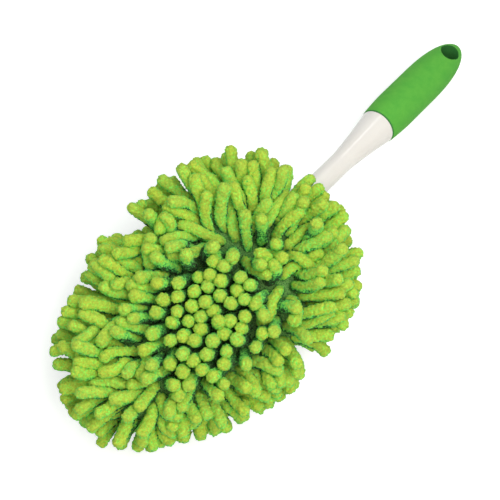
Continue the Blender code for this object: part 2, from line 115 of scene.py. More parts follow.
# Fingers on the flat of a face, and the bundle among them
PANEL_INSET = 0.001
PANEL_PITCH = 0.0106
PANEL_ROW_SHARE = 0.94
PANEL_JITTER = 0.0006
PANEL_SPREAD_STEPS = 60
PANEL_LEAN = math.radians(50)
PANEL_COMB = (-0.36, -0.03, 0)
BUNDLE_CENTRE = (-0.026, -0.010)
BUNDLE_HALF = 0.044
BUNDLE_LEFT = (-0.65, 0.76)
BUNDLE_RADIUS_GAIN = 0.03
CROSSED = 0.85
CROSSING_WAVES = (900.0, 1370.0)

# Fingers on the rounded edge: latitude and rise of each ring
EDGE_RINGS = ((17, -2), (42, 19), (67, 44))
EDGE_PITCH = 0.0109
EDGE_TURN_JITTER = 0.012
EDGE_RISE_JITTER = 0.08
EDGE_COMB = (0, 0.16, 0)
SWIRL = 0.20
DROOP_TURN = -150
DROOP_SPAN = 26
DROOP = 0.45
CLUMPS = 9
CLUMP_SWAY = 0.10

# Turn, span and share of length gained there
LENGTH_CHANGES = (
    (-150, 26, -0.30), (-140, 10, -0.12), (-112, 20, -0.16), (-72, 13, 0.06), (-50, 14, 0.08),
    (142, 22, 0.14), (178, 14, -0.08), (0, 7, -0.20), (20, 20, 0.07), (52, 16, 0.16),
    (107, 8, 0.14), (122, 9, 0.02),
)

# Turn, span and depth of each notch in the fan
NOTCHES = ((14, 6, 0.60), (88, 5, 0.30), (95, 7, 0.70), (119, 5, 0.12), (-91, 7, 0.70))

# The parting by the forked finger, then face, turn, latitude and length of each short finger in it
PARTED = (85.5, 98.5)
PARTED_SHORT = (
    (1, 97.0, 10, 0.015), (-1, 92.0, 42, 0.023), (-1, 96.0, 17, 0.020), (-1, 88.0, 17, 0.020),
)
SHORT_FALL = 12
FORKED_TURN = 90.5
FORKED_LENGTH = 0.034
FORKED_RADIUS_SHARE = 0.90
FORK_SHARE = 0.74
FORK_LENGTH = 0.0095
FORK_RADIUS_SHARE = 0.78

# Room that fingers leave round the neck
NEAR_NECK_LENGTH = 0.05
NEAR_NECK_REACH = 0.012
NEAR_NECK_ROOM_SHARE = 0.6
NECK_GUARD_LENGTH = 0.07
NECK_GUARD_FROM = 0.064

# Settling of crowded fingers
CHAIN_POINTS = 9
RELAX_STEPS = 60
PAIRS_EVERY = 8
PAIR_MARGIN = 0.005
ROOM_SHARE = 0.97
PUSH_SHARE = 0.42
LONGEST_PUSH = 0.0012
REST_PULL = 0.04
SMOOTHING = 0.16

# Skin of the fingers: scale and height of each layer of pile
PILE_NOISE = ((0.00100, 0.00040), (0.0026, 0.00013), (0.0080, 0.00018))
# Pile height by which raised lumps are painted lighter and hollows darker
PILE_SHADE_HEIGHT = 0.00028
FUZZ = 0.00024
FUZZ_FULL_RADIUS = 0.003
RING_POINTS = 34
BODY_RINGS = 34
DOME_RINGS = 8

# Strength of the light that isn't a lamp's
SKY_STRENGTH = 0.35
FLOOR_COLOUR = (0.66, 0.66, 0.66, 1)
FLOOR_GLOW = 0.56

# Camera, fitted to the photograph's outline
CAMERA_LEAN = math.radians(20.34)
CAMERA_TURN = math.radians(-24.27)
CAMERA_ROLL = math.radians(-2.5)
CAMERA_DISTANCE = 1.3
CAMERA_AIM = Vector((-0.0347, 0.0064, 0.045))
FOCAL_PIXELS = 1831.4
PHOTO_WIDTH_PIXELS = 500
SENSOR = 36.0

# The head's own axes: X along it towards the grip, Z out of its front face
AXIS_Y = Vector((0, 1, 0))
AXIS_X = -Vector(frame["joints"][0]["axis"]).normalized()
AXIS_Z = AXIS_X.cross(AXIS_Y)
pin_low, pin_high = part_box("retaining_pin")
HEAD_ORIGIN = (pin_low + pin_high) / 2 - AXIS_X * PIN_FROM_WIDEST
HEAD_AXES = np.array([AXIS_X, AXIS_Y, AXIS_Z])


def to_world(points):
    """Points in the head's own axes, as world points."""
    return np.asarray(points) @ HEAD_AXES + np.array(HEAD_ORIGIN)


# Mesh helpers

def new_mesh_object(name, points, quads, tris=(), material=None):
    """A mesh object from arrays of points, quads and triangles, shaded smooth."""
    mesh = bpy.data.meshes.new(name)
    mesh.vertices.add(len(points))
    mesh.vertices.foreach_set("co", np.asarray(points, np.float32).ravel())
    corners = np.concatenate([np.asarray(quads).ravel(), np.asarray(tris).ravel()])
    totals = np.concatenate([np.full(len(quads), 4), np.full(len(tris), 3)])
    starts = np.concatenate([[0], np.cumsum(totals)[:-1]])
    mesh.loops.add(len(corners))
    mesh.loops.foreach_set("vertex_index", corners.astype(np.int32))
    mesh.polygons.add(len(totals))
    mesh.polygons.foreach_set("loop_start", starts.astype(np.int32))
    mesh.polygons.foreach_set("loop_total", totals.astype(np.int32))
    mesh.update(calc_edges=True)
    mesh.validate()
    mesh.shade_smooth()
    made = bpy.data.objects.new(name, mesh)
    bpy.context.scene.collection.objects.link(made)
    if material:
        mesh.materials.append(material)
    return made


def grid_quads(rows, columns):
    """Quads between rings of points, each ring closed on itself."""
    low = np.arange(rows - 1)[:, None] * columns
    high = low + columns
    j = np.arange(columns)[None, :]
    k = (j + 1) % columns
    return np.stack([low + j, low + k, high + k, high + j], axis=-1).reshape(-1, 4)


def end_fans(rows, columns):
    """Triangles over the first and last ring, round two points that follow the rings."""
    j = np.arange(columns)
    k = (j + 1) % columns
    last = (rows - 1) * columns
    start = np.stack([np.full(columns, rows * columns), k, j], axis=-1)
    end = np.stack([np.full(columns, rows * columns + 1), last + j, last + k], axis=-1)
    return np.concatenate([start, end])


def lofted(name, rings, material=None):
    """A closed skin over rings of points, with a fan over each end."""
    rings = np.asarray(rings, float)
    rows, columns, _ = rings.shape
    points = np.concatenate([rings.reshape(-1, 3), [rings[0].mean(0), rings[-1].mean(0)]])
    made = new_mesh_object(name, points, grid_quads(rows, columns), end_fans(rows, columns), material)
    turn_outward(made)
    return made


def turn_outward(made):
    """Turns every face of a closed mesh to look outward."""
    bm = bmesh.new()
    bm.from_mesh(made.data)
    bmesh.ops.recalc_face_normals(bm, faces=bm.faces)
    bm.to_mesh(made.data)
    bm.free()


def cut(target, tool):
    """Cuts the tool's form out of a target, and removes the tool."""
    step = target.modifiers.new(tool.name, "BOOLEAN")
    step.operation = "DIFFERENCE"
    step.solver = "EXACT"
    step.object = tool
    bpy.context.view_layer.update()
    evaluated = target.evaluated_get(bpy.context.evaluated_depsgraph_get())
    mesh = bpy.data.meshes.new_from_object(evaluated)
    target.modifiers.clear()
    target.data = mesh
    bpy.data.objects.remove(tool, do_unlink=True)


def smooth_except_edges(made, degrees):
    made.data.shade_smooth()
    made.data.set_sharp_from_angle(angle=math.radians(degrees))


# Node helpers for materials

def new_material(name):
    made = bpy.data.materials.new(name)
    made.use_nodes = True
    return made, made.node_tree, made.node_tree.nodes["Principled BSDF"]


def set_input(tree, socket, value):
    """Links an input to another node's output, or gives it a value."""
    if isinstance(value, bpy.types.NodeSocket):
        tree.links.new(value, socket)
    else:
        socket.default_value = value


def feed(tree, node, **inputs):
    """Sets inputs of a node by their names, with underscores for spaces."""
    for key, value in inputs.items():
        set_input(tree, node.inputs[key.replace("_", " ")], value)


def add_node(tree, kind, settings=None, **inputs):
    node = tree.nodes.new(kind)
    for key, value in (settings or {}).items():
        setattr(node, key, value)
    feed(tree, node, **inputs)
    return node


def object_space(tree):
    return tree.nodes.new("ShaderNodeTexCoord").outputs["Object"]


def noise(tree, scale, detail=3.0, roughness=0.6, stretch=None):
    """Noise in the object's own space, at a scale in waves a metre."""
    place = object_space(tree)
    if stretch:
        place = add_node(tree, "ShaderNodeMapping", Vector=place, Scale=stretch).outputs["Vector"]
    return add_node(
        tree, "ShaderNodeTexNoise", Vector=place, Scale=scale, Detail=detail, Roughness=roughness
    ).outputs["Fac"]


def ramp(tree, factor, *stops):
    node = add_node(tree, "ShaderNodeValToRGB", Fac=factor)
    elements = node.color_ramp.elements
    while len(elements) < len(stops):
        elements.new(0.5)
    for element, (place, colour) in zip(elements, stops):
        element.position = place
        element.color = (*colour, 1.0)
    return node.outputs["Color"]


def mixed(tree, factor, first, second, blend="MIX"):
    node = tree.nodes.new("ShaderNodeMix")
    node.data_type = "RGBA"
    node.blend_type = blend
    for socket, value in ((node.inputs["Factor"], factor), (node.inputs[6], first), (node.inputs[7], second)):
        set_input(tree, socket, (*value, 1.0) if isinstance(value, tuple) else value)
    return node.outputs[2]


def bump(tree, shader, height, distance, strength=1.0):
    node = add_node(tree, "ShaderNodeBump", Height=height, Distance=distance, Strength=strength)
    tree.links.new(node.outputs["Normal"], shader.inputs["Normal"])


def named_value(tree, name):
    return add_node(tree, "ShaderNodeAttribute", {"attribute_name": name}).outputs["Fac"]


# Materials

def chenille_material():
    made, tree, shader = new_material("chenille_pile")
    lit = named_value(tree, "lit")
    own = named_value(tree, "own")
    speck = add_node(
        tree, "ShaderNodeMapRange", Value=noise(tree, 780.0, 3.0, 0.75), From_Min=0.40, From_Max=0.60,
        To_Min=-0.5, To_Max=0.5
    ).outputs["Result"]
    # Pile specks, stronger where the painted shade is deep, are added to the painted light and shade
    depth = add_node(tree, "ShaderNodeMapRange", Value=lit, To_Min=0.62, To_Max=0.36).outputs["Result"]
    specked_painted_light = tree.nodes.new("ShaderNodeMath")
    specked_painted_light.operation = "MULTIPLY_ADD"
    for socket, value in zip(specked_painted_light.inputs, (speck, depth, lit)):
        tree.links.new(value, socket)
    # Painted light and shade: dark green where lit is low, at roots and between fingers, up to yellow-lime on
    # open tips and tops
    painted_light_colour = ramp(
        tree, specked_painted_light.outputs[0],
        (0.0, (0.004, 0.030, 0.014)), (0.22, (0.032, 0.240, 0.072)), (0.48, (0.178, 0.860, 0.155)),
        (0.76, (0.360, 0.840, 0.106)), (0.97, (0.480, 0.655, 0.076)),
    )
    warmed = mixed(tree, own, painted_light_colour, mixed(tree, 1.0, painted_light_colour, (1.08, 1.0, 0.85), "MULTIPLY"))
    fleck = ramp(tree, noise(tree, 560.0, 4.0, 0.8), (0.28, (0.54, 0.62, 0.50)), (0.72, (1.32, 1.25, 1.36)))
    feed(
        tree, shader, Base_Color=mixed(tree, 1.0, warmed, fleck, "MULTIPLY"), Roughness=1.0,
        Specular_IOR_Level=0.12, Sheen_Weight=0.15, Sheen_Roughness=0.5, Sheen_Tint=(0.75, 0.95, 0.35, 1.0)
    )
    bump(tree, shader, noise(tree, 1500.0, 4.0, 0.75), 0.0007, 0.9)
    return made


def backing_material():
    made, tree, shader = new_material("mesh_backing")
    edges = {"feature": "DISTANCE_TO_EDGE"}
    holes = add_node(tree, "ShaderNodeTexVoronoi", edges, Vector=object_space(tree), Scale=900.0)
    holes = holes.outputs["Distance"]
    thread = ramp(tree, holes, (0.06, (0.190, 0.440, 0.105)), (0.24, (0.040, 0.130, 0.036)))
    worn = ramp(tree, noise(tree, 90.0), (0.3, (0.8, 0.85, 0.75)), (0.7, (1.1, 1.05, 1.0)))
    feed(tree, shader, Base_Color=mixed(tree, 1.0, thread, worn, "MULTIPLY"), Roughness=0.95)
    bump(tree, shader, holes, 0.0006, 0.8)
    return made


def tape_material():
    made, tree, shader = new_material("woven_tape")
    aslant = {"bands_direction": "DIAGONAL"}
    rib = add_node(
        tree, "ShaderNodeTexWave", aslant, Vector=object_space(tree), Scale=260.0, Distortion=0.6
    ).outputs["Fac"]
    colour = ramp(tree, rib, (0.2, (0.10, 0.22, 0.03)), (0.8, (0.24, 0.42, 0.07)))
    feed(tree, shader, Base_Color=colour, Roughness=0.9)
    bump(tree, shader, rib, 0.0004, 0.7)
    return made


def foam_material():
    made, tree, shader = new_material("open_foam")
    cells = add_node(tree, "ShaderNodeTexVoronoi", Vector=object_space(tree), Scale=900.0).outputs["Distance"]
    colour = ramp(tree, cells, (0.1, (0.86, 0.84, 0.72)), (0.8, (0.60, 0.57, 0.44)))
    feed(tree, shader, Base_Color=colour, Roughness=1.0)
    bump(tree, shader, cells, 0.0005, 0.8)
    return made


def grip_material(name, colour_low, colour_high):
    made, tree, shader = new_material(name)
    cloud = ramp(tree, noise(tree, 110.0), (0.3, colour_low), (0.7, colour_high))
    grain = noise(tree, 2600.0, 2.0, 0.5)
    speck = ramp(tree, grain, (0.3, (0.93, 0.94, 0.92)), (0.7, (1.04, 1.04, 1.04)))
    colour = mixed(tree, 1.0, cloud, speck, "MULTIPLY")
    rough = add_node(tree, "ShaderNodeMapRange", Value=grain, To_Min=0.66, To_Max=0.80).outputs["Result"]
    feed(tree, shader, Base_Color=colour, Roughness=rough, Specular_IOR_Level=0.12)
    bump(tree, shader, grain, 0.00012, 0.35)
    return made


def plastic_material(name, colour_low, colour_high, roughness):
    """Moulded polypropylene: faintly clouded, with flow streaks along the moulding."""
    made, tree, shader = new_material(name)
    cloud = ramp(tree, noise(tree, 35.0, 2.0, 0.5), (0.3, colour_low), (0.7, colour_high))
    streak = noise(tree, 240.0, stretch=(0.12, 1.0, 1.0))
    rough = add_node(
        tree, "ShaderNodeMapRange", Value=streak, To_Min=roughness - 0.07, To_Max=roughness + 0.09
    ).outputs["Result"]
    feed(
        tree, shader, Base_Color=cloud, Roughness=rough, Specular_IOR_Level=0.45, Subsurface_Weight=0.06,
        Subsurface_Radius=(0.004, 0.0035, 0.003)
    )
    bump(tree, shader, streak, 0.00010, 0.25)
    return made


def steel_material():
    made, tree, shader = new_material("pin_steel")
    streak = noise(tree, 1800.0, stretch=(1.0, 1.0, 0.1))
    colour = ramp(tree, streak, (0.3, (0.50, 0.51, 0.52)), (0.7, (0.66, 0.66, 0.67)))
    feed(tree, shader, Base_Color=colour, Metallic=1.0, Roughness=0.32)
    bump(tree, shader, streak, 0.00005, 0.3)
    return made


# Egg-shaped core, in the head's own axes

def half_length(forward):
    """The core's length from its widest place to the end that a point or direction looks to."""
    return np.where(forward > 0, CORE_BLUNT, CORE_FAR)


def egg(turn, inset):
    """Points on the core's outline, drawn in by an inset."""
    turn = np.asarray(turn, float)
    along = half_length(np.cos(turn)) - inset
    return np.stack([along * np.cos(turn), (CORE_HALF_WIDTH - inset) * np.sin(turn)], axis=-1)


def egg_outward(turn, inset):
    """Directions straight out of that outline."""
    turn = np.asarray(turn, float)
    along = half_length(np.cos(turn)) - inset
    return unit(np.stack([(CORE_HALF_WIDTH - inset) * np.cos(turn), along * np.sin(turn)], axis=-1))


def edge_point(turn, latitude, radius=CORE_HALF_THICK):
    """Point on the rounded edge of the core; latitude in radians above its middle plane."""
    flat = egg(turn, CORE_HALF_THICK - radius * math.cos(latitude))
    height = np.full(flat.shape[:-1] + (1,), radius * math.sin(latitude))
    return np.concatenate([flat, height], axis=-1)


def even_turns(start, end, count, inset, shift=0.5):
    """Turns at equal lengths along the outline."""
    fine = np.linspace(start, end, 800)
    points = egg(fine, inset)
    run = np.concatenate([[0], np.cumsum(np.linalg.norm(np.diff(points, axis=0), axis=1))])
    return np.interp((np.arange(count) + shift) / count * run[-1], run, fine)


def egg_length(inset):
    points = egg(np.linspace(0, 2 * math.pi, 800), inset)
    return np.linalg.norm(np.diff(points, axis=0), axis=1).sum()


# Fingers: where they stand, how they settle against each other, and their skin

def panel_reach(spots, inset):
    """How far spots lie out on the flat of a face: 1 at its edge."""
    far = half_length(spots[:, 0]) - inset
    return np.hypot(spots[:, 0] / far, spots[:, 1] / (CORE_HALF_WIDTH - inset))


def panel_roots(random):
    """Roots, directions and spreads of fingers on the flat of a face, in loosely staggered rows.

    A finger's spread says how far out it stands: under 1 in the bundle, and more than 1 on the rounded edge.
    """
    inset = CORE_HALF_THICK + PANEL_INSET
    wide = CORE_HALF_WIDTH - inset
    pitch = PANEL_PITCH * PANEL_ROW_SHARE
    row, column = np.mgrid[-20:21, -20:21]
    spots = np.stack([row * pitch * math.sqrt(3) / 2, (column + 0.5 * (row % 2)) * pitch], axis=-1)
    spots = spots.reshape(-1, 2)
    spots = spots[panel_reach(spots, inset) < 1]
    spots += random.normal(size=spots.shape) * PANEL_JITTER
    for _ in range(PANEL_SPREAD_STEPS):
        off = spots[:, None] - spots[None]
        gap = np.linalg.norm(off, axis=-1) + np.eye(len(spots))
        push = np.maximum(PANEL_PITCH - gap, 0) * 0.3
        spots = spots + (off * (push / gap)[..., None]).sum(axis=1)
        spots /= np.maximum(panel_reach(spots, inset), 1)[:, None]
    far = half_length(spots[:, 0]) - inset
    out = egg_outward(np.arctan2(spots[:, 1] / wide, spots[:, 0] / far), inset)
    aside = np.stack([-out[:, 1], out[:, 0]], axis=1)
    # Fingers stand up in the bundle and lean outward beyond it, sooner on its left and right
    away = np.linalg.norm(spots - BUNDLE_CENTRE, axis=1) / BUNDLE_HALF
    aslant = (spots - BUNDLE_CENTRE) @ np.array(BUNDLE_LEFT) / BUNDLE_HALF
    left, right = np.clip(aslant, 0, 1), np.clip(-aslant, 0, 1)
    lean = PANEL_LEAN * np.clip((away - 0.85 + 0.40 * left + 0.38 * right) / (0.75 + 0.40 * right), 0, 1)
    # Round the bundle they fall to one side or the other and cross
    crossed = CROSSED * np.exp(-((away - 1.12) / 0.20) ** 2) * np.sin(spots @ np.array(CROSSING_WAVES))
    roots = np.concatenate([spots, np.full((len(spots), 1), CORE_HALF_THICK)], axis=1)
    level = out * np.sin(lean)[:, None] + aside * crossed[:, None]
    return roots, np.concatenate([level, np.cos(lean)[:, None]], axis=1), np.minimum(0.75 * away, 1.1)


def edge_roots(random):
    """Roots, directions and spreads of fingers on the rounded edge of a face, in rings."""
    roots, ways, spreads = [], [], []
    for n, (latitude, rise) in enumerate(EDGE_RINGS):
        latitude, rise = math.radians(latitude), math.radians(rise)
        inset = CORE_HALF_THICK * (1 - math.cos(latitude))
        count = round(egg_length(inset) / EDGE_PITCH)
        turns = even_turns(0, 2 * math.pi, count, inset, 0.5 * (n % 2))
        turns = turns + random.normal(size=count) * EDGE_TURN_JITTER
        degrees = np.degrees(turns)
        turns = turns[(degrees < PARTED[0]) | (degrees > PARTED[1]) | (n == 2)]
        count = len(turns)
        out = egg_outward(turns, inset)
        aside = np.stack([-out[:, 1], out[:, 0]], axis=1)
        sway = CLUMP_SWAY * np.sin(CLUMPS * turns + 0.7)
        for middle, span, depth in NOTCHES:
            away = ((np.degrees(turns) - middle + 180) % 360 - 180) / span
            sway = sway + depth * np.tanh(2 * away) * np.exp(-(away / 1.6) ** 2)
        out = unit(out + aside * sway[:, None])
        roots.append(edge_point(turns, latitude))
        lift = rise + random.normal(size=count) * EDGE_RISE_JITTER
        ways.append(np.concatenate([out * np.cos(lift)[:, None], np.sin(lift)[:, None]], axis=1))
        spreads.append(np.full(count, 1.3 if n else 1.6))
    return np.concatenate(roots), np.concatenate(ways), np.concatenate(spreads)


def bell(turns, middle, span):
    """1 at the middle turn, in degrees, falling to 0 round it."""
    away = (turns - middle + 180) % 360 - 180
    return np.exp(-(away / span) ** 2)


def unit(vectors):
    return vectors / np.maximum(np.linalg.norm(vectors, axis=-1, keepdims=True), 1e-9)


def smooth(share):
    return share * share * (3 - 2 * share)


def neck_line(run):
    """Points on the neck's centre line, by the length run from its start."""
    run = np.asarray(run, float)
    turned = np.clip((run - STRAIGHT_RUN) / BEND_RADIUS, 0, NECK_BEND)
    rest = np.maximum(run - STRAIGHT_RUN - BEND_RADIUS * NECK_BEND, 0)
    x = NECK_START + np.minimum(run, STRAIGHT_RUN) + BEND_RADIUS * np.sin(turned) + rest * np.cos(turned)
    z = -BEND_RADIUS * (1 - np.cos(turned)) - rest * np.sin(turned)
    centre = np.stack([x, np.zeros_like(x), z], axis=-1)
    along = np.stack([np.cos(turned), np.zeros_like(x), -np.sin(turned)], axis=-1)
    return centre, along


def push_from_core(points, radius):
    """Moves points that lie inside the core out through its surface."""
    far = half_length(points[..., 0]) - CORE_HALF_THICK
    wide = CORE_HALF_WIDTH - CORE_HALF_THICK
    scaled = np.stack([points[..., 0] / far, points[..., 1] / wide], axis=-1)
    spread = np.maximum(np.linalg.norm(scaled, axis=-1), 1e-6)
    reach = np.linalg.norm(points[..., :2], axis=-1)
    beyond = np.maximum((spread - 1) * reach / spread, 0)
    out = unit(np.stack([scaled[..., 0] / far, scaled[..., 1] / wide], axis=-1))
    length = np.maximum(np.hypot(beyond, points[..., 2]), 1e-6)
    short = np.maximum(CORE_HALF_THICK + radius - length, 0)
    points[..., :2] += out * (short * beyond / length)[..., None]
    points[..., 2] += short * points[..., 2] / length


def push_from_handle(points, side, radius):
    """Keeps fingers off the neck, and out of the way by which neck and paddle leave the cover."""
    centre, _ = neck_line(np.linspace(0, NECK_GUARD_LENGTH, 36))
    flat = points.reshape(-1, 3)
    off = flat[:, None, :] - centre[None]
    distance = np.linalg.norm(off, axis=-1)
    nearest = distance.argmin(axis=1)
    rows = np.arange(len(flat))
    short = np.maximum(NECK_RADIUS + radius - distance[rows, nearest], 0)
    flat += unit(off[rows, nearest]) * short[:, None]
    over_neck = (flat[:, 0] > NECK_GUARD_FROM) & (flat[:, 2] > 0)
    over_neck &= np.abs(flat[:, 1]) < NECK_RADIUS + radius
    flat[:, 2] = np.where(over_neck, np.maximum(flat[:, 2], NECK_RADIUS + radius), flat[:, 2])
    in_slot = (flat[:, 0] > 0) & (np.abs(flat[:, 1]) < PADDLE_HALF_WIDTH + radius)
    in_slot &= np.abs(flat[:, 2]) < SLOT_HALF + radius
    face = np.repeat(side, points.shape[1])
    lifted = face * np.maximum(face * flat[:, 2], SLOT_HALF + radius)
    flat[:, 2] = np.where(in_slot, lifted, flat[:, 2])


def push_from_floor(points, radius):
    """Lifts points that lie lower than a finger's radius above the floor."""
    up = HEAD_AXES[:, 2].copy()
    height = points @ up + HEAD_ORIGIN.z
    points += up * np.maximum(radius - height, 0)[..., None]


def chains(roots, ways, bends, lengths):
    """Resting centre line of each finger: it leaves its root one way and ends another."""
    share = np.linspace(0, 1, CHAIN_POINTS)
    step = lengths[:, None] / (CHAIN_POINTS - 1)
    heading = unit(ways[:, None, :] + bends[:, None, :] * share[None, :, None])
    moves = heading[:, :-1] * step[..., None]
    run = np.concatenate([np.zeros((len(roots), 1, 3)), np.cumsum(moves, axis=1)], axis=1)
    return roots[:, None, :] + run


def close_pairs(points, reach):
    """Pairs of chain points of different fingers that lie within reach of each other."""
    links = points.shape[1]
    flat = points.reshape(-1, 3)
    square = (flat ** 2).sum(1)
    distance = square[:, None] + square[None] - 2 * flat @ flat.T
    first, second = np.nonzero(np.triu(distance < reach ** 2, 1))
    keep = first // links != second // links
    return first[keep], second[keep]


def settle(points, lengths, side, radius):
    """Pushes crowded fingers apart while each keeps its root and its length."""
    rest = points.copy()
    links = points.shape[1]
    step = lengths / (links - 1)
    room = 2 * radius * ROOM_SHARE
    for turn in range(RELAX_STEPS):
        if turn % PAIRS_EVERY == 0:
            first, second = close_pairs(points, room + PAIR_MARGIN)
        flat = points.reshape(-1, 3)
        off = flat[first] - flat[second]
        gap = np.linalg.norm(off, axis=1)
        move = unit(off) * (np.maximum(room - gap, 0) * PUSH_SHARE)[:, None]
        shift = np.zeros_like(flat)
        for axis in range(3):
            shift[:, axis] += np.bincount(first, move[:, axis], len(flat))
            shift[:, axis] -= np.bincount(second, move[:, axis], len(flat))
        points = points + np.clip(shift, -LONGEST_PUSH, LONGEST_PUSH).reshape(points.shape)
        points += (rest - points) * REST_PULL
        points[:, 1:-1] += (points[:, :-2] + points[:, 2:] - 2 * points[:, 1:-1]) * SMOOTHING
        push_from_core(points, radius * 0.8)
        push_from_handle(points, side, radius * 1.04)
        push_from_floor(points, radius * 0.98)
        points[:, 0] = rest[:, 0]
        for k in range(1, links):
            way = unit(points[:, k] - points[:, k - 1])
            points[:, k] = points[:, k - 1] + way * step[:, None]
    return points


def curve_at(points, shares):
    """Catmull-Rom curve through each finger's chain, read at that finger's shares of its length."""
    links = points.shape[1]
    first = 2 * points[:, :1] - points[:, 1:2]
    last = 2 * points[:, -1:] - points[:, -2:-1]
    padded = np.concatenate([first, points, last], axis=1)
    place = shares * (links - 1)
    index = np.clip(place.astype(int), 0, links - 2)
    t = (place - index)[..., None]
    p0, p1, p2, p3 = (np.take_along_axis(padded, (index + k)[..., None], axis=1) for k in range(4))
    square = 2 * p0 - 5 * p1 + 4 * p2 - p3
    cube = 3 * p1 - p0 - 3 * p2 + p3
    return 0.5 * (2 * p1 + (p2 - p0) * t + square * t ** 2 + cube * t ** 3)


def lattice_noise(places, scale, table):
    """Smooth noise in space, from a table of random values that repeats."""
    size = len(table)
    place = places / scale
    low = np.floor(place).astype(int)
    t = smooth(place - low)
    total = 0.0
    for corner in range(8):
        bits = np.array([corner & 1, corner >> 1 & 1, corner >> 2 & 1])
        weight = np.prod(np.where(bits, t, 1 - t), axis=-1)
        i, j, k = ((low + bits) % size).T
        total = total + weight * table[i, j, k]
    return total


def directions_across(along):
    """Two directions across each finger at every station, carried along it without a twist."""
    guide = unit(np.cross(along[:, 0], np.array([0.31, 0.52, 0.79])))
    guides = [guide]
    for k in range(1, along.shape[1]):
        guide = unit(guide - along[:, k] * (guide * along[:, k]).sum(-1, keepdims=True))
        guides.append(guide)
    first = np.stack(guides, axis=1)
    return first, np.cross(along, first)


def pile_heights(radius, heights, angle, random):
    """How far the pile stands out at each skin point: lumps in layers, and fuzz."""
    straight = np.stack(np.broadcast_arrays(
        radius[:, :, None] * np.cos(angle), radius[:, :, None] * np.sin(angle), heights[:, :, None]
    ), axis=-1) + random.random((len(radius), 1, 1, 3)) * 0.5
    table = random.normal(size=(24, 24, 24))
    flat = straight.reshape(-1, 3)
    pile = np.zeros(len(flat))
    for n, (scale, depth) in enumerate(PILE_NOISE):
        pile += lattice_noise(flat, scale, np.roll(table, n, axis=n)) * depth
    pile = pile.reshape(straight.shape[:-1])
    return pile + random.normal(size=pile.shape) * FUZZ * np.minimum(1, radius / FUZZ_FULL_RADIUS)[..., None]


def finger_skins(points, lengths, radii, rim, random):
    """Skin points and centre line of every finger, and the painted light and shade of each point."""
    share = np.linspace(0, 1, BODY_RINGS, endpoint=False)
    dome = np.linspace(0, math.pi / 2, DOME_RINGS + 1)[:-1]
    dome_part = (radii / lengths)[:, None]
    shares = np.concatenate([share * (1 - dome_part), 1 - dome_part + dome_part * np.sin(dome)], axis=1)
    cap = np.concatenate([np.ones(BODY_RINGS), np.cos(dome) ** 0.75])
    swell = np.interp(np.linspace(0, 1, BODY_RINGS + DOME_RINGS), (0, 0.15, 0.6, 1), (0.84, 0.99, 1.02, 1.0))
    radius = radii[:, None] * swell[None] * cap[None]

    centre = curve_at(points, shares)
    along = unit(np.gradient(centre, axis=1))
    first, second = directions_across(along)
    angle = np.linspace(0, 2 * math.pi, RING_POINTS, endpoint=False)
    ring = first[:, :, None] * np.cos(angle)[None, None, :, None]
    ring = ring + second[:, :, None] * np.sin(angle)[None, None, :, None]
    tilt = np.concatenate([np.zeros(BODY_RINGS), np.sin(dome)])[None, :, None, None]
    normal = unit(ring * np.sqrt(1 - tilt ** 2) + along[:, :, None] * tilt)
    pile = pile_heights(radius, shares * lengths[:, None], angle, random)
    skin = centre[:, :, None] + ring * radius[:, :, None, None] + normal * pile[..., None]

    # Painted light and shade: tips and sides that look out of the pile are painted lit, and rim fingers for
    # more of their length; roots and sides deep in the pile are painted in shade
    rim = rim[:, None, None]
    facing = np.clip((np.abs(normal[..., 2]) - 0.24 + 0.16 * rim) / 0.52, 0, 1)
    height = np.clip((shares[:, :, None] - 0.58 + 0.20 * rim) / (0.32 + 0.08 * rim), 0, 1)
    lit = 1 - (1 - 0.90 * smooth(facing)) * (1 - (0.78 - 0.24 * rim) * smooth(height))
    # Painted shade on the pile as well: raised lumps are painted lighter, hollows darker
    return skin, centre, lit + 0.08 * pile / PILE_SHADE_HEIGHT


def make_fingers(name, skin, centre, lit, own, material):
    """One object of many closed fingers, with the painted light and shade of each point and a random value of
    each finger.
    """
    count, rows, columns, _ = skin.shape
    size = rows * columns + 2
    tips = skin[:, -1].mean(axis=1, keepdims=True) + (centre[:, -1:] - centre[:, -2:-1]) * 0.3
    fingers = np.concatenate([skin.reshape(count, rows * columns, 3), centre[:, :1], tips], axis=1)
    starts = (np.arange(count) * size)[:, None, None]
    quads = (grid_quads(rows, columns)[None] + starts).reshape(-1, 4)
    tris = (end_fans(rows, columns)[None] + starts).reshape(-1, 3)
    made = new_mesh_object(name, to_world(fingers.reshape(-1, 3)), quads, tris, material)
    ends = np.stack([lit[:, 0].mean(-1), lit[:, -1].mean(-1)], axis=1)
    shades = np.concatenate([lit.reshape(count, -1), ends], axis=1).ravel()
    # The lit attribute carries each point's painted light and shade to the material
    for attribute, values in (("lit", shades), ("own", np.repeat(own, size))):
        layer = made.data.attributes.new(attribute, "FLOAT", "POINT")
        layer.data.foreach_set("value", values.astype(np.float32))
    return made


def all_roots(random):
    """Roots, directions, spreads and faces of all fingers that clear the neck, with the forked one last."""
    parts = []
    for side in (1, -1):
        for source in (panel_roots, edge_roots):
            root, way, spread = source(random)
            parts.append((root * (1, 1, side), way * (1, 1, side), spread, np.full(len(root), side)))
    root = edge_point(math.radians(FORKED_TURN), math.radians(EDGE_RINGS[1][0]))
    parts.append((root[None], np.array([[0, 1.0, 0.2]]), np.array([1.3]), np.array([1])))
    roots, ways, spreads, side = (np.concatenate(column) for column in zip(*parts))
    centre, _ = neck_line(np.linspace(0, NEAR_NECK_LENGTH, 20))
    reached = roots + ways * NEAR_NECK_REACH
    from_neck = np.linalg.norm(reached[:, None] - centre[None], axis=-1).min(axis=1)
    keep = from_neck > NECK_RADIUS + FINGER_RADIUS * NEAR_NECK_ROOM_SHARE
    return roots[keep], ways[keep], spreads[keep], side[keep]


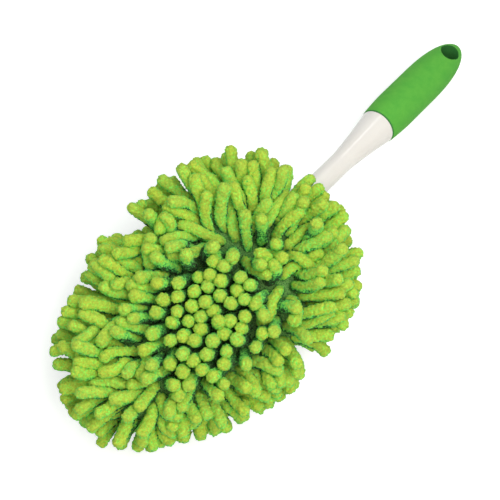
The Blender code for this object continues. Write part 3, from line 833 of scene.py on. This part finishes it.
def grown_fingers(random):
    """Every finger as it would stand alone: root, direction, bend, rim share, length, radius and face."""
    roots, ways, spreads, side = all_roots(random)
    count = len(roots)
    loose = np.interp(spreads, (0.4, 0.65, 0.9, 1.3), (0.25, 0.5, 1.7, 1.0))[:, None]
    rim = np.interp(spreads, (0.7, 1.2), (0.0, 1.0))[:, None]
    turns = np.degrees(np.arctan2(roots[:, 1] / CORE_HALF_WIDTH, roots[:, 0] / half_length(roots[:, 0])))
    combed = np.array(PANEL_COMB) * (1 - rim) + np.array(EDGE_COMB) * rim
    combed[:, :1] -= SWIRL * rim * roots[:, 1:2] / CORE_HALF_WIDTH
    combed[:, 2] -= DROOP * rim[:, 0] * bell(turns, DROOP_TURN, DROOP_SPAN)
    ways = unit(ways + random.normal(size=(count, 3)) * WAY_JITTER * loose + combed)
    bends = random.normal(size=(count, 3)) * BEND_JITTER * loose
    bends[random.random(count) < STRONG_BEND_SHARE] *= STRONG_BEND_GAIN
    lengths = FINGER_LENGTH + LONG_FINGER_EXTRA * np.interp(spreads, (0.5, 0.9, 1.3, 1.6), (0, 1, 1, 0))
    lengths *= 1 + LENGTH_JITTER * random.normal(size=count).clip(-2, 2)
    for middle, span, gain in LENGTH_CHANGES:
        lengths *= 1 + gain * rim[:, 0] * bell(turns, middle, span)
    thicker = BUNDLE_RADIUS_GAIN * (spreads < 0.8)
    radii = FINGER_RADIUS * (1 + RADIUS_JITTER * random.normal(size=count).clip(-2, 2) + thicker)
    ways[-1], bends[-1] = unit(np.array([-0.04, 1.0, 0.20])), (-0.1, 0, 0)
    lengths[-1], radii[-1] = FORKED_LENGTH, FINGER_RADIUS * FORKED_RADIUS_SHARE
    return roots, ways, bends, rim, lengths, radii, side


def short_fingers():
    """The short fingers that fill the parting, described as the grown ones are."""
    made = []
    for face, turn, latitude, length in PARTED_SHORT:
        root = edge_point(math.radians(turn), math.radians(latitude)) * (1, 1, face)
        rise = face * math.sin(math.radians(latitude - SHORT_FALL))
        way = unit(np.append(egg_outward(math.radians(turn), 0), rise))
        made.append((root, way, (0, 0, 0), (1.0,), length, FINGER_RADIUS, face))
    return [np.array(column) for column in zip(*made)]


def slices_under(roots):
    """The name of the CAD slice that each finger stands on."""
    names = []
    spots = []
    for name, node in frame["nodes"].items():
        if "_panel_" in name or "_edge_" in name:
            spots += [v.co.copy() for v in node.data.vertices]
            names += [name] * len(node.data.vertices)
    tree = KDTree(len(spots))
    for i, spot in enumerate(spots):
        tree.insert(spot, i)
    tree.balance()
    return np.array([names[tree.find(Vector(p))[1]] for p in to_world(roots)])


def all_fingers(material):
    """Every finger of both faces, settled together and then shared out to the slices that they stand on."""
    random = np.random.default_rng(11)
    roots, ways, bends, rim, lengths, radii, side = (
        np.concatenate(pair) for pair in zip(short_fingers(), grown_fingers(random))
    )
    sunk = roots - ways * ROOT_SINK
    points = settle(chains(sunk, ways, bends, lengths), lengths, side, FINGER_RADIUS)

    # The fork is a short finger of its own that leaves the last one
    stem = curve_at(points[-1:], np.array([[FORK_SHARE, FORK_SHARE + 0.05]]))[0]
    twig = unit(unit(stem[1] - stem[0]) + np.array([1.7, -0.3, 0]))
    twig = stem[0] + twig * np.linspace(0, FORK_LENGTH, CHAIN_POINTS)[:, None]
    points, roots = np.concatenate([points, twig[None]]), np.concatenate([roots, roots[-1:]])
    lengths, radii = np.append(lengths, FORK_LENGTH), np.append(radii, FINGER_RADIUS * FORK_RADIUS_SHARE)
    skin, centre, lit = finger_skins(points, lengths, radii, np.append(rim, rim[-1]), random)
    own = random.random(len(points))

    homes = slices_under(roots)
    for name in sorted(set(homes.tolist())):
        chosen = homes == name
        made = make_fingers(
            name.replace("panel", "chenille").replace("edge", "fringe"),
            skin[chosen], centre[chosen], lit[chosen], own[chosen], material
        )
        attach(made, "cover")
        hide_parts(name)


# Backing, pads and tapes of the cover

def drawn_in(ring, share, crown):
    """A smaller copy of a ring on the flat of a face, which crowns a little towards its middle."""
    return ring * (share, share, 1) + (0, 0, crown * (1 - share))


def backing_shell(side, material):
    """Mesh backing of one face: a rounded shell, open towards the foam."""
    turns = np.linspace(0, 2 * math.pi, 160, endpoint=False)
    low = math.asin((SLOT_HALF + HEM_HEIGHT) / CORE_HALF_THICK)
    inner = [edge_point(turns, lat, CORE_HALF_THICK - BACKING) for lat in np.linspace(math.pi / 2, low, 10)]
    outer = [edge_point(turns, lat, CORE_HALF_THICK) for lat in np.linspace(low, math.pi / 2, 10)]
    flats = [drawn_in(outer[-1], share, 0.0006) for share in (0.8, 0.55, 0.3, 0.08)]
    under = [flat - (0, 0, BACKING) for flat in reversed(flats)]
    loop = np.array(under + inner + outer + flats)
    loop[..., 2] *= side
    made = lofted("front_backing" if side > 0 else "back_backing", to_world(loop), material)
    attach(made, "cover")
    return made


def foam_pad(side, material):
    """Foam pad: crowned where it meets the backing, drawn in at its rim, flat on the paddle."""
    turns = np.linspace(0, 2 * math.pi, 120, endpoint=False)
    radius = CORE_HALF_THICK - BACKING - 0.001
    low = math.asin((SLOT_HALF + FIT_GAP) / radius)
    latitudes = np.linspace(low, math.pi / 2, 9)
    rings = [edge_point(turns, lat, radius - 0.0008 * math.sin(3 * lat) ** 2) for lat in latitudes]
    under = [rings[0] * (share, share, 1) for share in (0.5, 0.93)]
    flats = [drawn_in(rings[-1], share, 0.0004) for share in (0.75, 0.5, 0.25)]
    loop = np.array(under + rings + flats)
    loop[..., 2] *= side
    name = "front_pad" if side > 0 else "back_pad"
    made = lofted(name + "_foam", to_world(loop), material)
    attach(made, "cover")
    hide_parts(name)


def soft_section(half_thick, half_high):
    """Rounded rectangle section of a tape."""
    angle = np.linspace(0, 2 * math.pi, 16, endpoint=False)
    wide = np.sign(np.cos(angle)) * np.abs(np.cos(angle)) ** 0.4
    high = np.sign(np.sin(angle)) * np.abs(np.sin(angle)) ** 0.4
    return wide * half_thick, high * half_high


def tape(node, start, end, low, high, inset_out, material, ruffle):
    """Woven strip along the outline, gently gathered."""
    turns = even_turns(start, end, 140, 0)
    inset, height = soft_section((BACKING - inset_out) / 2, (high - low) / 2)
    middle = (BACKING + inset_out) / 2
    rings = []
    for n, turn in enumerate(turns):
        gather = ruffle * math.sin(n * 0.9)
        flat = np.array([egg(turn, middle + gather + i) for i in inset])
        rings.append(np.concatenate([flat, (height + (low + high) / 2)[:, None]], axis=1))
    made = lofted(node + "_tape", to_world(rings), material)
    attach(made, "cover")
    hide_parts(node)


# Handle

def circle(centre, along, radius, count):
    """Points round a centre on the handle, square to the way that it runs there."""
    angle = np.linspace(0, 2 * math.pi, count, endpoint=False)[:, None]
    up = np.cross([0, 1, 0], along)
    return centre + radius * (np.cos(angle) * np.array([0, 1.0, 0]) + np.sin(angle) * up)


def neck_run(from_bend):
    """Length run along the neck's centre line to a place given from the bend's corner."""
    return STRAIGHT_RUN + BEND_RADIUS * NECK_BEND + from_bend - BEND_RADIUS * math.tan(NECK_BEND / 2)


def neck_radius(from_bend):
    share = np.maximum((from_bend - (NECK_LENGTH - FLARE_LENGTH)) / FLARE_LENGTH, 0)
    return NECK_RADIUS + (FLARE_RADIUS - NECK_RADIUS) * share ** FLARE_POWER


def make_neck(material):
    """Neck: rounded collar, bend, flare to the seam, and the tongue inside the grip."""
    end = neck_run(NECK_LENGTH)
    tongue_end = end + TONGUE_LENGTH
    stations = []
    for a in np.linspace(0, math.pi / 2, 7):
        stations.append((COLLAR_ROUND * (1 - math.cos(a)), NECK_RADIUS - COLLAR_ROUND * (1 - math.sin(a))))
    for run in np.linspace(COLLAR_ROUND * 1.5, end - NECK_STEP_ROUND, 110):
        stations.append((run, float(neck_radius(run - neck_run(0)))))
    for a in np.linspace(0.3, math.pi / 2, 5):
        radius = FLARE_RADIUS - NECK_STEP_ROUND * (1 - math.cos(a)) * 0.5
        stations.append((end - NECK_STEP_ROUND * (1 - math.sin(a)), radius))
    stations += [(end, FLARE_RADIUS - NECK_STEP_DEPTH), (end, TONGUE_RADIUS)]
    stations += [(tongue_end - TONGUE_ROUND, TONGUE_RADIUS), (tongue_end, TONGUE_RADIUS - TONGUE_ROUND)]
    rings = [circle(*neck_line(run), radius, 96) for run, radius in stations]
    made = lofted("neck_moulding", to_world(rings), material)
    reach = (NECK_START - CUT_OVERRUN, STEM_END + FIT_GAP)
    cut(made, block("socket", reach, STEM_HALF_WIDTH + FIT_GAP, STEM_HALF_HEIGHT + FIT_GAP))
    cut(made, rod("bore", PIN_RADIUS + FIT_GAP, PIN_HOLE_HALF))
    smooth_except_edges(made, 32)
    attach(made, "handle")
    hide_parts("neck")


def block(name, xs, half_width, half_height):
    """A box along the neck between two places."""
    section = np.array([(-1, -1), (1, -1), (1, 1), (-1, 1)]) * (half_width, half_height)
    return lofted(name, to_world([[(x, y, z) for y, z in section] for x in xs]))


def rod(name, radius, half_length):
    """A round bar through the neck where the pin sits."""
    angle = np.linspace(0, 2 * math.pi, 32, endpoint=False)
    flat = np.stack([PIN_FROM_WIDEST + radius * np.cos(angle), radius * np.sin(angle)], axis=-1)
    rings = [np.concatenate([flat, np.full((32, 1), z)], axis=1) for z in (-half_length, half_length)]
    return lofted(name, to_world(rings))


def grip_radius(along):
    if along <= GRIP_SWELL_LENGTH:
        share = math.sin(math.pi / 2 * along / GRIP_SWELL_LENGTH)
        return GRIP_LIP_RADIUS + (GRIP_RADIUS - GRIP_LIP_RADIUS) * share
    share = max(min((along - TAPER_START) / GRIP_TAPER_LENGTH, 1.0), 0.0)
    return GRIP_RADIUS * math.sqrt(1 - share ** GRIP_TAPER_POWER)


def make_grip(material, painted_shade_material):
    """Soft sleeve with a rolled lip at the seam and a hang hole with a rounded rim."""
    profile = [(TONGUE_LENGTH + FIT_GAP, TONGUE_RADIUS + FIT_GAP), (FIT_GAP, TONGUE_RADIUS + FIT_GAP)]
    for a in np.linspace(0, math.pi / 2, 6)[::-1]:
        along = FIT_GAP + LIP_ROUND * (1 - math.sin(a))
        profile.append((along, GRIP_LIP_RADIUS - LIP_ROUND * (1 - math.cos(a))))
    taper = GRIP_LENGTH - GRIP_TAPER_LENGTH * (1 - np.sin(np.linspace(0, math.pi / 2, 60))[1:-1])
    for along in np.concatenate([np.linspace(LIP_END, TAPER_START, 50), taper]):
        profile.append((along, grip_radius(along)))
    seam, axis = neck_line(neck_run(NECK_LENGTH))
    rings = [circle(seam + axis * along, axis, radius, 112) for along, radius in profile]
    made = lofted("grip_sleeve", to_world(rings), material)

    # The hang hole, cut by a spool that widens towards both of its ends
    middle = seam + axis * (GRIP_LENGTH - HANG_HOLE_FROM_TIP)
    mouth = grip_radius(GRIP_LENGTH - HANG_HOLE_FROM_TIP)
    up = np.cross([0, 1, 0], axis)
    angle = np.linspace(0, 2 * math.pi, 112, endpoint=False)[:, None]
    turn = np.cos(angle) * np.array([0, 1.0, 0]) + np.sin(angle) * axis
    side = []
    for a in np.linspace(0, math.pi / 2, 8):
        widened = HOLE_FLARE * (1 - math.cos(a))
        side.append((mouth - HOLE_FLARE + widened + HOLE_PROUD, HANG_HOLE_RADIUS + widened))
    outer = GRIP_RADIUS + HOLE_OVERRUN
    side.append((outer, side[-1][1] + outer - side[-1][0]))
    stations = [(-z, r) for z, r in reversed(side)] + side
    cut(made, lofted("hole_cutter", to_world([middle + up * z + turn * r for z, r in stations])))

    # Painted shade: faces inside the hole and at the seam, where shade falls, get a darker rubber colour
    made.data.materials.clear()
    made.data.materials.append(material)
    made.data.materials.append(painted_shade_material)
    centre, way = Vector(to_world(middle)), Vector(up @ HEAD_AXES)
    seam_centre, seam_way = Vector(to_world(seam)), Vector(axis @ HEAD_AXES)
    for face in made.data.polygons:
        off = face.center - centre
        across = (off - way * off.dot(way)).length
        from_seam = (face.center - seam_centre).dot(seam_way)
        in_shade = across < HANG_HOLE_RADIUS + 0.0001 or from_seam < FIT_GAP + LIP_ROUND * 0.8
        face.material_index = int(in_shade)
    smooth_except_edges(made, 35)
    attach(made, "handle")
    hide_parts("grip")


# Studio

def build_camera():
    back = Vector((
        -math.sin(CAMERA_LEAN) * math.cos(CAMERA_TURN),
        math.sin(CAMERA_LEAN) * math.sin(CAMERA_TURN),
        math.cos(CAMERA_LEAN),
    ))
    ahead = (Vector((1, 0, 0)) - back * back.x).normalized()
    aside = ahead.cross(back)
    along = ahead * math.cos(CAMERA_ROLL) - aside * math.sin(CAMERA_ROLL)
    across = aside * math.cos(CAMERA_ROLL) + ahead * math.sin(CAMERA_ROLL)
    right = (along + across).normalized()
    up = (along - across).normalized()
    data = bpy.data.cameras.new("camera")
    data.sensor_width = SENSOR
    data.lens = FOCAL_PIXELS / PHOTO_WIDTH_PIXELS * SENSOR
    data.clip_start, data.clip_end = 0.05, 20.0
    camera = bpy.data.objects.new("camera", data)
    bpy.context.scene.collection.objects.link(camera)
    matrix = camera.matrix_world
    for i, column in enumerate((right, up, back, CAMERA_AIM + back * CAMERA_DISTANCE)):
        for row in range(3):
            matrix[row][i] = column[row]
    camera.matrix_world = matrix
    bpy.context.scene.camera = camera
    return back, right, up


def area_light(name, place, aim, size, power, colour):
    data = bpy.data.lights.new(name, "AREA")
    data.shape = "SQUARE"
    data.size = size
    data.energy = power
    data.color = colour
    made = bpy.data.objects.new(name, data)
    made.location = place
    made.rotation_euler = (Vector(aim) - Vector(place)).to_track_quat("-Z", "Y").to_euler()
    bpy.context.scene.collection.objects.link(made)


def white_to_camera(tree):
    """1 for rays that the camera, gloss or glass sends, 0 for light that falls on the object."""
    path = tree.nodes.new("ShaderNodeLightPath").outputs
    seen = path["Is Camera Ray"]
    for kind in ("Is Glossy Ray", "Is Transmission Ray"):
        larger = add_node(tree, "ShaderNodeMath", {"operation": "MAXIMUM"})
        tree.links.new(seen, larger.inputs[0])
        tree.links.new(path[kind], larger.inputs[1])
        seen = larger.outputs[0]
    return seen


def build_studio(back, right, up):
    world = bpy.data.worlds.new("studio")
    world.use_nodes = True
    bpy.context.scene.world = world
    tree = world.node_tree
    tree.nodes.clear()
    soft = add_node(tree, "ShaderNodeBackground", Color=(0.94, 0.97, 1, 1), Strength=SKY_STRENGTH)
    white = add_node(tree, "ShaderNodeBackground", Color=(1, 1, 1, 1), Strength=1.0)
    mix = add_node(tree, "ShaderNodeMixShader")
    for socket, value in zip(mix.inputs, (white_to_camera(tree), soft.outputs[0], white.outputs[0])):
        set_input(tree, socket, value)
    output = tree.nodes.new("ShaderNodeOutputWorld")
    tree.links.new(mix.outputs[0], output.inputs["Surface"])

    aim = CAMERA_AIM
    across = (right - up).normalized()
    beyond = (right + up).normalized()
    area_light("softbox", aim + back * 1.2 + across * 0.42, aim, 1.0, 9.9, (1.0, 0.968, 0.91))
    area_light("overhead", aim + back * 1.1 + (up + right) * 0.45, aim, 0.8, 7.2, (1.0, 0.98, 0.94))
    area_light("window", aim + back * 0.5 - across * 1.0, aim, 0.7, 2.2, (0.82, 0.91, 1.0))
    # A small lamp over the grip's end draws the bright line along the neck
    gleam = aim + back * 0.31 - across * 0.50 + beyond * 1.05
    area_light("gleam", gleam, aim + beyond * 0.12, 0.16, 0.9, (1, 1, 1))

    floor = new_mesh_object("floor", [(-6, -6, 0), (6, -6, 0), (6, 6, 0), (-6, 6, 0)], [[0, 1, 2, 3]])
    made, tree, shader = new_material("pale_floor")
    floor.data.materials.append(made)
    feed(tree, shader, Base_Color=FLOOR_COLOUR, Roughness=0.9, Specular_IOR_Level=0.0)
    lift = add_node(tree, "ShaderNodeMath", {"operation": "MULTIPLY"})
    tree.links.new(white_to_camera(tree), lift.inputs[0])
    lift.inputs[1].default_value = FLOOR_GLOW
    glow = add_node(tree, "ShaderNodeEmission", Color=(1, 1, 1, 1), Strength=lift.outputs[0])
    both = tree.nodes.new("ShaderNodeAddShader")
    tree.links.new(shader.outputs[0], both.inputs[0])
    tree.links.new(glow.outputs[0], both.inputs[1])
    tree.links.new(both.outputs[0], tree.nodes["Material Output"].inputs["Surface"])


def dress(node, material):
    """Gives a kept CAD node its material."""
    mesh = frame["nodes"][node].data
    mesh.materials.clear()
    mesh.materials.append(material)


def build():
    bpy.context.scene.view_settings.view_transform = "Standard"
    build_studio(*build_camera())
    backing = backing_material()
    tape_cloth = tape_material()
    foam = foam_material()
    all_fingers(chenille_material())
    for side in (1, -1):
        backing_shell(side, backing)
        foam_pad(side, foam)
    quarter = math.pi / 2
    seam_top = SLOT_HALF - FIT_GAP
    hem_top = SLOT_HALF + HEM_HEIGHT - FIT_GAP
    tape("side_seam", quarter, 3 * quarter, -seam_top, seam_top, -0.001, tape_cloth, 0.0001)
    tape("mouth_hem_front", -quarter, quarter, SLOT_HALF, hem_top, -0.0008, tape_cloth, 0.0003)
    tape("mouth_hem_back", -quarter, quarter, -hem_top, -SLOT_HALF, -0.0008, tape_cloth, 0.0003)
    make_neck(plastic_material("neck_plastic", (0.720, 0.688, 0.642), (0.748, 0.722, 0.680), 0.21))
    # The second rubber is the grip's colour darkened, as painted shade inside the hang hole and at the seam
    make_grip(
        grip_material("soft_rubber", (0.084, 0.379, 0.049), (0.116, 0.430, 0.055)),
        grip_material("painted_shade_rubber", (0.040, 0.205, 0.045), (0.052, 0.235, 0.050)),
    )
    dress("paddle_frame", plastic_material("paddle_plastic", (0.80, 0.78, 0.73), (0.86, 0.84, 0.79), 0.42))
    dress("retaining_pin", steel_material())


build()
